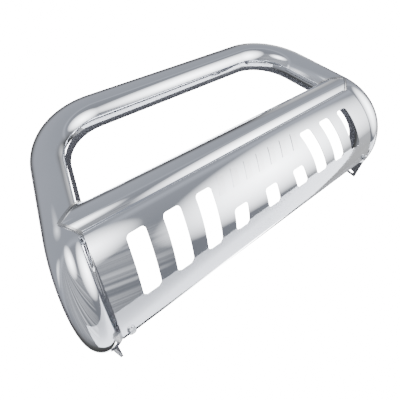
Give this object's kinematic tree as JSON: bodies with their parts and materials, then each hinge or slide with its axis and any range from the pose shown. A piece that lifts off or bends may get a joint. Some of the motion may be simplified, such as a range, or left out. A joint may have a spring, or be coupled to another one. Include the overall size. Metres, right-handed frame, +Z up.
{
  "type": "front grille guard",
  "caption": "Bent tube grille guard for a truck's front: hoop, tube between the legs, rolled and slotted skid plate, and slotted mounting tabs.",
  "frame": {"origin": "middle of the line through the pivot holes of the two mounting tabs", "axes": "+X along the guard, to the right as seen from in front of the vehicle; +Y to the rear of the vehicle, so that the guard's front faces -Y; +Z up"},
  "size_m": [0.966, 0.2727, 0.5067],
  "materials": {
    "polished_tube": "mirror-polished stainless tube",
    "polished_sheet": "mirror-polished stainless sheet",
    "trim_steel": "satin bars raised on the polished sheet",
    "satin_steel": "satin-ground steel plate",
    "weld_metal": "dressed weld bead",
    "fastener_steel": "bright stainless fasteners"
  },
  "bodies": {
    "root": {"clip_weld_left": "weld_metal", "clip_weld_right": "weld_metal", "cross_tube": "polished_tube", "cross_weld_left": "weld_metal", "cross_weld_right": "weld_metal", "end_cap_left": "satin_steel", "end_cap_right": "satin_steel", "hoop_tube": "polished_tube", "mount_tab_left": "satin_steel", "mount_tab_right": "satin_steel", "mount_weld_left": "weld_metal", "mount_weld_right": "weld_metal", "plate_back_washers": "fastener_steel", "plate_bolts": "fastener_steel", "plate_clip_left": "satin_steel", "plate_clip_right": "satin_steel", "plate_lock_washers": "fastener_steel", "plate_nuts": "fastener_steel", "plate_stitch_welds": "weld_metal", "plate_washers": "fastener_steel", "skid_plate": "polished_sheet", "trim_bars": "trim_steel"}
  },
  "joints": []
}
